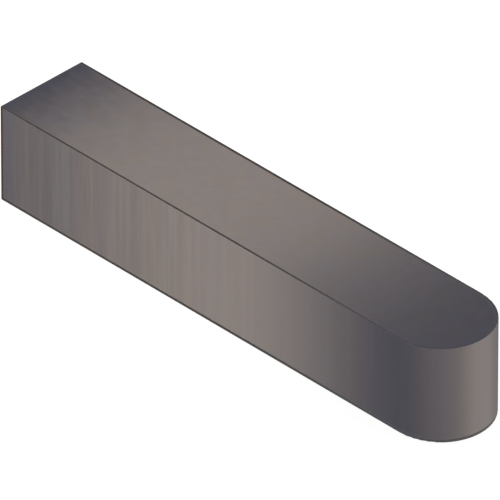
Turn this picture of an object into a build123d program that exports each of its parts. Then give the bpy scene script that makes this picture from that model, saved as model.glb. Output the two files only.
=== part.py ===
from build123d import *
import os

# A parallel machine key: a solid steel bar of square section that lies half in a shaft's
# keyway and half in the hub's, and drives one with the other through its two flanks. One end
# is cut square. The other is a full half circle, which seats in the rounded end that an end
# mill leaves in a keyway.
#
# Frame: +X runs along the key to its round end, and +Z points out of the shaft's keyway. The
# origin is midway along the key, on the centre line of the face that rests on the keyway's
# floor.

# Driving dimensions, in millimetres
key_width = 4.0  # across the flanks
key_height = 4.0  # from the bottom face to the top face
key_length = 22.0  # from the square end's face to the crown of the round end
edge_break = 0.05  # radius that deburring leaves along every edge

# Where the outline turns
flank_y = key_width / 2
end_radius = key_width / 2
square_end_x = -key_length / 2
crown_x = key_length / 2
round_end_x = crown_x - end_radius


def key_outline():
    """The key seen from above: a square end, two flanks and a half circle between them."""
    with BuildSketch() as plan:
        with BuildLine():
            Polyline(
                (round_end_x, -flank_y),
                (square_end_x, -flank_y),
                (square_end_x, flank_y),
                (round_end_x, flank_y),
            )
            ThreePointArc((round_end_x, flank_y), (crown_x, 0), (round_end_x, -flank_y))
        make_face()
    return plan.sketch


def sharp_edges(blank):
    """Every edge but the two where the flanks run smoothly into the round end."""
    rims = blank.faces().filter_by(Axis.Z).edges()
    end_face = blank.faces().sort_by(Axis.X)[0]
    corners = end_face.edges().filter_by(Axis.Z)
    return rims + corners


def machine_key():
    """The bar at full height, with its sharp edges broken."""
    blank = extrude(key_outline(), key_height)
    return fillet(sharp_edges(blank), edge_break)


key = machine_key()
key.label = "machine_key"

os.makedirs("parts", exist_ok=True)
export_step(key, "parts/machine_key.step")
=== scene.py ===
import math

import bpy
from mathutils import Matrix, Vector

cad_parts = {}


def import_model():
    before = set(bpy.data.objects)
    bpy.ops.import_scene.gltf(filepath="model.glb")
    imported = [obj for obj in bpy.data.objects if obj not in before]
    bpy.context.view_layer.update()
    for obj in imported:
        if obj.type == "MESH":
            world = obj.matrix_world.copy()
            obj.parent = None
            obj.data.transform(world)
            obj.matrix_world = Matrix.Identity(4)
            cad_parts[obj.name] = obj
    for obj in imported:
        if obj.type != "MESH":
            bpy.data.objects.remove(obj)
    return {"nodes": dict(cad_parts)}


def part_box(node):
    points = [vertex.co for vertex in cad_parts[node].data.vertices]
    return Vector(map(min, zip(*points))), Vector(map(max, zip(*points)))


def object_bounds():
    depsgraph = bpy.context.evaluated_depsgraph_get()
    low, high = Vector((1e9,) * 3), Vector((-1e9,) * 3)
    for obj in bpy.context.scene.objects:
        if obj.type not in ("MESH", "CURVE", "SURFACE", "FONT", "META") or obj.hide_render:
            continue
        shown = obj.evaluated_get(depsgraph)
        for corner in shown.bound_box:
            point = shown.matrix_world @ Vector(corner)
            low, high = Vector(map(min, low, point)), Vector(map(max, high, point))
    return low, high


MM = 0.001

# The view, found by fitting the key's outline to the photograph's
VIEW_AZIMUTH = math.radians(45.57)
VIEW_ELEVATION = math.radians(34.77)
VIEW_WIDTH = 17.5 * MM  # what the frame takes in, at the distance of the point looked at
VIEW_SHIFT_RIGHT = -0.326 * MM  # from the key's middle to the point looked at
VIEW_SHIFT_UP = 0.254 * MM
LENS = 1500.0  # so long that parallel edges stay all but parallel, as in the photograph
SENSOR = 36.0
CLIP_SPAN = 10  # the camera sees from its distance divided by this to its distance times this

# The room
FLOOR_SIZE = 4.0
FLOOR_WHITE = (0.2, 0.2, 0.2)
FLOOR_GLOW = 0.85  # the floor glows as well, so it comes out white and the key's shadow on it is faint
SWEEP_WHITE = (1.05, 1.05, 1.05)  # what lights the floor and fills the background
ROOM_GREY = (0.282, 0.294, 0.396)  # the dim, cool room that the steel reflects
LAMP_WARM = (1.0, 0.887, 0.75)
WATTS = 4  # what a square metre of softbox takes for a radiance of 1

# The steel. One end was sawn square and the other milled round
STEEL_WARM = (0.256, 0.234, 0.211, 1)
STEEL_COOL = (0.244, 0.236, 0.232, 1)
STEEL_SHADED_SQUARE_END = (0.205, 0.197, 0.203, 1)  # painted shade: darker, cooler steel beside the sawn end
SQUARE_END_SHADE_REACH = 1.2  # how far that painted shade reaches from there, in millimetres
ROUND_END_PAINTED_SHADE = -0.06  # painted shade: by which the top and bottom are dimmer at the milled end
ROUND_SHADE_FROM = 2.0  # how far short of the round end's axis that begins, in millimetres
ROUND_SHADE_TO = 0.5  # and how far short of it they are dimmest
STEEL_ROUGHNESS = 0.58
STEEL_SPECULAR = 0.2

# Its texture: noise cells for each millimetre, along X, Y and Z or round the sides, across and up
TINT_CELLS = 1.7  # patches and bands of warmer and cooler tone
SHADE_CELLS = 2.6  # patches and bands of lighter and darker tone
BAND_SPREAD = 0.3  # how fast the bands of the two flanks come to differ, from one side to the other
GROUND_FINE = (0.25, 8, 8)
GROUND_WIDE = (0.08, 2.5, 2.5)
MILLED = (7, 0.3, 0.35)
SAWN = (1, 0.4, 9)
GRAIN_CELLS = 18
SOFT_DETAIL = 1  # octaves of noise in the patches, bands, wide lines and grain
LINE_DETAIL = 2  # and in the cut lines and the ragged border of the dark edges
FINE_DETAIL = 3  # and in the fine ground lines
TINT_LAYER = 11  # the slice of the noise that the warmer and cooler tone is cut from
SHADE_LAYER = 20  # and the one for the lighter and darker tone
NOISE_LOW = 0.25  # what the noise mostly stays between
NOISE_HIGH = 0.75
TINT_SPAN = 1.6  # how far out, either way, the noise would have to go for the warmest and coolest steel

# How much each part of the texture counts for
LINES_IN_TONE = 0.035
GRAIN_IN_TONE = 0.03
SHADE_IN_TONE = 0.05
LINES_IN_ROUGHNESS = 0.03
SHADE_IN_ROUGHNESS = 0.02
FINE_IN_GROUND = 0.7
WIDE_IN_GROUND = 0.5
GRAIN_IN_DEPTH = 0.3
BUMP_HEIGHT = 0.0002 * MM  # depth of the deepest lines

# Telling the faces apart
FACING_LOW = 0.3  # a face changes kind as its normal's part along an axis goes between these
FACING_HIGH = 0.7
MIDDLE_BLEND = 0.5  # how far from half height the upper part fades into the lower, in millimetres

# The dull oxide along the broken edges, in millimetres
EDGE_DARK = (0.026, 0.023, 0.023, 1)
EDGE_PALE = (0.057, 0.055, 0.061, 1)  # where it was rubbed thinnest, round the milled end
EDGE_ROUGHNESS = 0.8
EDGE_FADE = 0.03  # over which the dark line ends
EDGE_WANDER = 0.006  # by which its border strays
WANDER_CELLS = 3
PALE_FROM = 9.5  # how far short of the round end's axis the line begins to grow paler
PALE_TO = 1.5  # and how far short of it the line is palest
PALE_SAWN = 0.4  # the share of that paling which the top and bottom lines have at the sawn end too
PALE_REACH = 3.5  # and how far it reaches from there
WORN_FROM = 0  # how far past the axis the top line begins to wear off
WORN_TO = 0.7  # and how far past it the line is gone
WORN_LEFT = 0.7  # but not this far over to the left, as a share of the half width
STAIN_STAYS = 2  # the stain goes with this power of the wear, so it stays longer than the crust
RIM_LINE_RIGHT = 0.06  # how far the line reaches over the top and bottom faces from the right flank
RIM_LINE_LEFT = 0.142  # the same from the left flank
LEFT_FROM = 0.6  # the first widens into the second between these shares of the half width
LEFT_TO = 0.8
RIM_LINE_END = 0.06  # and from the square end
SIDE_LINE = 0.145  # how far it reaches up from the bottom edge and along the flanks from the corners
THIN_LINE = 0.03  # how far it reaches down from the top edge and over the square end from its corners


class Graph:
    """A node tree, with short calls for the nodes that a material needs."""

    def __init__(self, tree):
        self.tree = tree

    def node(self, kind, values, **settings):
        """A node of a kind. The values go into its inputs: numbers, colours or other nodes' outputs."""
        made = self.tree.nodes.new("ShaderNode" + kind)
        for name, value in settings.items():
            setattr(made, name, value)
        for name, value in values.items():
            self.put(made.inputs[name], value)
        return made

    def put(self, socket, value):
        """Sets a socket to a number or colour, or links another node's output to it."""
        if isinstance(value, bpy.types.NodeSocket):
            self.tree.links.new(value, socket)
        else:
            socket.default_value = value

    def math(self, operation, *values):
        """One sum, product or the like, of numbers or other nodes' outputs."""
        return self.node("Math", dict(enumerate(values)), operation=operation).outputs[0]

    def total(self, start, *parts):
        """A starting number plus each part's value times its weight."""
        value = start
        for part, weight in parts:
            value = self.math("MULTIPLY_ADD", part, weight, value)
        return value

    def smooth(self, value, start, end, at_start, at_end):
        """Follows a value from start to end with a smooth change from one number to another."""
        span = {"Value": value, "From Min": start, "From Max": end, "To Min": at_start, "To Max": at_end}
        return self.node("MapRange", span, interpolation_type="SMOOTHSTEP").outputs[0]

    def stretched_noise(self, place, per_mm, detail):
        """Noise between about -1 and 1, with so many cells for each millimetre along each axis."""
        scaled = self.node("VectorMath", {0: place, 1: per_mm}, operation="MULTIPLY").outputs[0]
        made = self.node("TexNoise", {"Vector": scaled, "Scale": 1.0, "Detail": detail})
        span = {"From Min": NOISE_LOW, "From Max": NOISE_HIGH, "To Min": -1.0, "To Max": 1.0}
        return self.node("MapRange", {"Value": made.outputs[0], **span}, clamp=False).outputs[0]

    def mix(self, share, first, second, kind="FLOAT"):
        """Goes from the first to the second as the share goes from 0 to 1."""
        made = self.node("Mix", {}, data_type=kind)
        sockets = [s for s in made.inputs if s.enabled]
        for socket, value in zip(sockets, (share, first, second)):
            self.put(socket, value)
        return next(s for s in made.outputs if s.enabled)


class KeyPlace:
    """Where a point lies on the key, as outputs of a node graph, in millimetres."""

    def __init__(self, graph, low, high):
        radius = (high.y - low.y) / 2
        turn_x = high.x - radius
        half_height = (high.z - low.z) / 2
        seen = graph.node("TexCoord", {})
        metres = seen.outputs["Object"]
        self.place = graph.node("VectorMath", {0: metres, "Scale": 1 / MM}, operation="SCALE").outputs[0]
        self.x, self.y, self.z = graph.node("SeparateXYZ", {0: self.place}).outputs
        facing = graph.node("SeparateXYZ", {0: seen.outputs["Normal"]}).outputs

        # Distances from the ends, the sides and the top, and the way along the sides and round the end
        self.past_turn = graph.math("MAXIMUM", graph.math("SUBTRACT", self.x, turn_x), 0)
        across = graph.math("MULTIPLY", self.y, self.y)
        squares = graph.math("MULTIPLY_ADD", self.past_turn, self.past_turn, across)
        from_axis = graph.math("SQRT", squares)
        self.to_side = graph.math("SUBTRACT", radius, from_axis)
        self.to_end = graph.math("SUBTRACT", self.x, low.x)
        self.to_top = graph.math("SUBTRACT", high.z, self.z)
        self.to_turn = graph.math("SUBTRACT", turn_x, self.x)
        share = graph.math("MINIMUM", graph.math("DIVIDE", self.past_turn, radius), 1)
        round_part = graph.math("MULTIPLY", graph.math("ARCSINE", share), radius)
        self.along = graph.math("ADD", graph.math("MINIMUM", self.x, turn_x), round_part)
        self.leftward = graph.math("DIVIDE", self.y, radius)

        # Which face it is: 1 on it and 0 off it
        self.upright = graph.smooth(graph.math("ABSOLUTE", facing[2]), FACING_LOW, FACING_HIGH, 1, 0)
        self.on_end = graph.smooth(facing[0], -FACING_HIGH, -FACING_LOW, 1, 0)
        self.on_flats = graph.math("SUBTRACT", 1, self.upright)
        self.on_sides = graph.math("MULTIPLY", self.upright, graph.math("SUBTRACT", 1, self.on_end))
        above, below = half_height - MIDDLE_BLEND, half_height + MIDDLE_BLEND
        self.upper = graph.smooth(self.to_top, above, below, 1, 0)


def past_edge_line(graph, at):
    """How far a point lies past the nearest edge's dark line, and less than 0 on the line itself."""
    rim_line = graph.smooth(at.leftward, LEFT_FROM, LEFT_TO, RIM_LINE_RIGHT, RIM_LINE_LEFT)
    past_side = graph.math("SUBTRACT", at.to_side, rim_line)
    past_end = graph.math("SUBTRACT", at.to_end, RIM_LINE_END)
    on_flats = graph.math("MINIMUM", past_side, past_end)

    foot = graph.math("SUBTRACT", at.z, SIDE_LINE)
    brow = graph.math("SUBTRACT", at.to_top, THIN_LINE)
    side_corner = graph.math("SUBTRACT", at.to_end, SIDE_LINE)
    end_corner = graph.math("SUBTRACT", at.to_side, THIN_LINE)
    corner = graph.mix(at.on_end, side_corner, end_corner)
    on_upright = graph.math("MINIMUM", graph.math("MINIMUM", foot, brow), corner)
    return graph.mix(at.upright, on_flats, on_upright)


def tone(graph, at, per_mm, layer):
    """Soft patches on the flat faces and upright bands round the sides. Each layer has its own."""
    moved = graph.node("VectorMath", {0: at.place, 1: (0, 0, layer)}, operation="ADD").outputs[0]
    patches = graph.stretched_noise(moved, (per_mm,) * 3, SOFT_DETAIL)
    round_about = graph.node("CombineXYZ", {0: at.along, 1: at.y, 2: layer}).outputs[0]
    bands = graph.stretched_noise(round_about, (per_mm, BAND_SPREAD, 1), SOFT_DETAIL)
    return graph.mix(at.on_sides, patches, bands)


def tool_lines(graph, at):
    """Fine lines: ground along the top and bottom, milled up the sides and sawn across the end."""
    fine = graph.stretched_noise(at.place, GROUND_FINE, FINE_DETAIL)
    wide = graph.stretched_noise(at.place, GROUND_WIDE, SOFT_DETAIL)
    ground = graph.total(0, (fine, FINE_IN_GROUND), (wide, WIDE_IN_GROUND))
    round_about = graph.node("CombineXYZ", {0: at.along, 1: at.y, 2: at.z}).outputs[0]
    milled = graph.stretched_noise(round_about, MILLED, LINE_DETAIL)
    sawn = graph.stretched_noise(at.place, SAWN, LINE_DETAIL)
    return graph.total(0, (ground, at.on_flats), (milled, at.on_sides), (sawn, at.on_end))


def edge_line(graph, at):
    """1 on the dark line of an edge and 0 past it, with a border that strays a little."""
    ragged = graph.stretched_noise(at.place, (WANDER_CELLS,) * 3, LINE_DETAIL)
    past_line = graph.total(past_edge_line(graph, at), (ragged, EDGE_WANDER))
    return graph.smooth(past_line, -EDGE_FADE / 2, EDGE_FADE / 2, 1, 0)


def wear(graph, at):
    """1 where the top edge's line is worn off, round the front of the milled end, and 0 elsewhere."""
    round_front = graph.smooth(at.past_turn, WORN_FROM, WORN_TO, 0, 1)
    not_left = graph.smooth(at.leftward, 0, WORN_LEFT, 1, 0)
    return graph.math("MULTIPLY", graph.math("MULTIPLY", round_front, not_left), at.upper)


def oxide(graph, at):
    """How much crust and stain the edges' oxide has at a point, and the stain's colour.

    The crust hides the metal's shine. The stain darkens it, and stays a little longer where both
    wear off.
    """
    line = edge_line(graph, at)
    worn = wear(graph, at)
    crust = graph.math("MULTIPLY", line, graph.math("SUBTRACT", 1, worn))
    stain_worn = graph.math("POWER", worn, STAIN_STAYS)
    stain = graph.math("MULTIPLY", line, graph.math("SUBTRACT", 1, stain_worn))
    milled_rub = graph.smooth(at.to_turn, PALE_TO, PALE_FROM, 1, 0)
    sawn_rub = graph.math("MULTIPLY", at.on_flats, graph.smooth(at.to_end, 0, PALE_REACH, PALE_SAWN, 0))
    colour = graph.mix(graph.math("MAXIMUM", milled_rub, sawn_rub), EDGE_DARK, EDGE_PALE, "RGBA")
    return crust, stain, colour


def key_steel(low, high):
    """Bright steel: satin, with fine lines, slight changes of tone, dark broken edges and painted shade
    towards both ends.
    """
    material = bpy.data.materials.new("key_steel")
    material.use_nodes = True
    graph = Graph(material.node_tree)
    shader = material.node_tree.nodes["Principled BSDF"]
    shader.inputs["Specular IOR Level"].default_value = STEEL_SPECULAR
    at = KeyPlace(graph, low, high)

    lines = tool_lines(graph, at)
    warmth = tone(graph, at, TINT_CELLS, TINT_LAYER)
    shade = tone(graph, at, SHADE_CELLS, SHADE_LAYER)
    grain = graph.stretched_noise(at.place, (GRAIN_CELLS,) * 3, SOFT_DETAIL)
    crust, stain, dark = oxide(graph, at)

    tint = graph.mix(graph.smooth(warmth, -TINT_SPAN, TINT_SPAN, 0, 1), STEEL_COOL, STEEL_WARM, "RGBA")
    # painted shade: the steel turns darker and cooler towards the square end
    tint = graph.mix(graph.smooth(at.to_end, 0, SQUARE_END_SHADE_REACH, 1, 0), tint, STEEL_SHADED_SQUARE_END, "RGBA")
    # painted shade: the top and bottom darken towards the round end
    round_end_shade = graph.math("MULTIPLY", at.on_flats, graph.smooth(at.to_turn, ROUND_SHADE_TO, ROUND_SHADE_FROM, 1, 0))
    texture = [(lines, LINES_IN_TONE), (grain, GRAIN_IN_TONE), (shade, SHADE_IN_TONE)]
    brightness = graph.total(1, *texture, (round_end_shade, ROUND_END_PAINTED_SHADE))
    toned = graph.node("VectorMath", {0: tint, "Scale": brightness}, operation="SCALE").outputs[0]
    graph.put(shader.inputs["Base Color"], graph.mix(stain, toned, dark, "RGBA"))

    graph.put(shader.inputs["Metallic"], graph.math("SUBTRACT", 1, crust))
    rough = graph.total(STEEL_ROUGHNESS, (lines, LINES_IN_ROUGHNESS), (shade, SHADE_IN_ROUGHNESS))
    graph.put(shader.inputs["Roughness"], graph.mix(crust, rough, EDGE_ROUGHNESS))

    height = graph.total(0, (lines, 1), (grain, GRAIN_IN_DEPTH))
    bump = graph.node("Bump", {"Height": height, "Distance": BUMP_HEIGHT, "Strength": 1.0})
    graph.put(shader.inputs["Normal"], bump.outputs[0])
    return material


def floor():
    """A white floor that the camera sees and the steel doesn't."""
    bpy.ops.mesh.primitive_plane_add(size=FLOOR_SIZE)
    plane = bpy.context.object
    plane.name = "floor"
    material = bpy.data.materials.new("floor_white")
    material.use_nodes = True
    shader = material.node_tree.nodes["Principled BSDF"]
    shader.inputs["Base Color"].default_value = (*FLOOR_WHITE, 1)
    shader.inputs["Roughness"].default_value = 1
    shader.inputs["Specular IOR Level"].default_value = 0
    shader.inputs["Emission Color"].default_value = (1, 1, 1, 1)
    shader.inputs["Emission Strength"].default_value = FLOOR_GLOW
    plane.data.materials.append(material)
    plane.visible_glossy = False
    plane.visible_diffuse = False
    plane.visible_shadow = False


def world():
    """A white sweep all round, which the steel's reflections see as a dim, cool room."""
    made = bpy.data.worlds.new("studio")
    bpy.context.scene.world = made
    made.use_nodes = True
    made.cycles.sampling_method = "NONE"
    made.node_tree.nodes.clear()
    graph = Graph(made.node_tree)
    path = graph.node("LightPath", {})
    sweep = graph.node("Background", {"Color": (*SWEEP_WHITE, 1)})
    room = graph.node("Background", {"Color": (*ROOM_GREY, 1)})
    glossy = path.outputs["Is Glossy Ray"]
    both = graph.node("MixShader", {0: glossy, 1: sweep.outputs[0], 2: room.outputs[0]})
    graph.node("OutputWorld", {0: both.outputs[0]})


def softbox(name, aim, offset, across, size, radiance):
    """A soft rectangular light, in millimetres, that faces a point and stands off from it by the offset.

    Its size is the one along across and then the one at right angles to it.
    """
    light = bpy.data.lights.new(name, "AREA")
    light.shape = "RECTANGLE"
    light.size = size[0] * MM
    light.size_y = size[1] * MM
    light.energy = radiance * light.size * light.size_y * WATTS
    light.color = LAMP_WARM
    lamp = bpy.data.objects.new(name, light)
    bpy.context.scene.collection.objects.link(lamp)
    offset, across = Vector(offset), Vector(across)
    back = offset.normalized()
    side = (across - back * across.dot(back)).normalized()
    turn = Matrix((side, back.cross(side), back)).transposed().to_4x4()
    lamp.matrix_world = Matrix.Translation((Vector(aim) + offset) * MM) @ turn
    lamp.visible_camera = False


def lights(low, high):
    """Soft lights close to the key, so that each face's shine fades along it as in the photograph."""
    middle_x = (low.x + high.x) / 2
    turn_x = high.x - (high.y - low.y) / 2
    up = (0, 0, 1)
    softbox(
        "top_softbox",
        aim=(middle_x - 3.9, low.y + 2.6, high.z),
        offset=(-0.5, 0, 3.7),
        across=(0, 1, 0),
        size=(23.4, 12.2),
        radiance=0.71,
    )
    softbox(
        "right_softbox",
        aim=(low.x - 5, low.y, low.z - 6),
        offset=(12, -12.3, 0),
        across=up,
        size=(29, 11),
        radiance=3.0,
    )
    softbox(
        "round_end_fill",
        aim=(turn_x, 0, low.z - 2.5),
        offset=(14.7, -8.7, 0),
        across=up,
        size=(14.7, 56),
        radiance=0.38,
    )
    softbox(
        "round_end_softbox",
        aim=(turn_x, 0, low.z - 3.7),
        offset=(7.7, 5.7, 0),
        across=up,
        size=(18.5, 13.3),
        radiance=0.69,
    )
    softbox(
        "left_softbox",
        aim=(middle_x - 8, high.y, low.z - 4),
        offset=(0, 10, 0),
        across=up,
        size=(14, 12),
        radiance=1.2,
    )
    softbox(
        "square_end_softbox",
        aim=(low.x, high.y, low.z - 4),
        offset=(-8, 0, 0),
        across=up,
        size=(14, 14),
        radiance=0.8,
    )


def camera(middle):
    """The photograph's view, from far off."""
    data = bpy.data.cameras.new("camera")
    data.sensor_width = SENSOR
    data.lens = LENS
    seen = bpy.data.objects.new("camera", data)
    bpy.context.scene.collection.objects.link(seen)
    back = Vector(
        (
            math.sin(VIEW_AZIMUTH) * math.cos(VIEW_ELEVATION),
            -math.cos(VIEW_AZIMUTH) * math.cos(VIEW_ELEVATION),
            math.sin(VIEW_ELEVATION),
        )
    )
    right = Vector((math.cos(VIEW_AZIMUTH), math.sin(VIEW_AZIMUTH), 0))
    up = back.cross(right)
    target = middle + right * VIEW_SHIFT_RIGHT + up * VIEW_SHIFT_UP
    distance = VIEW_WIDTH * LENS / SENSOR
    seen.location = target + back * distance
    seen.rotation_euler = Matrix((right, up, back)).transposed().to_euler()
    data.clip_start = distance / CLIP_SPAN
    data.clip_end = distance * CLIP_SPAN
    bpy.context.scene.camera = seen


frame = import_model()
cad_low, cad_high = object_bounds()
scene = bpy.context.scene
scene.view_settings.view_transform = "Standard"

key_low, key_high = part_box("machine_key")
key = frame["nodes"]["machine_key"]
key.data.materials.clear()
key.data.materials.append(key_steel(key_low / MM, key_high / MM))

floor()
world()
camera((cad_low + cad_high) / 2)
lights(key_low / MM, key_high / MM)
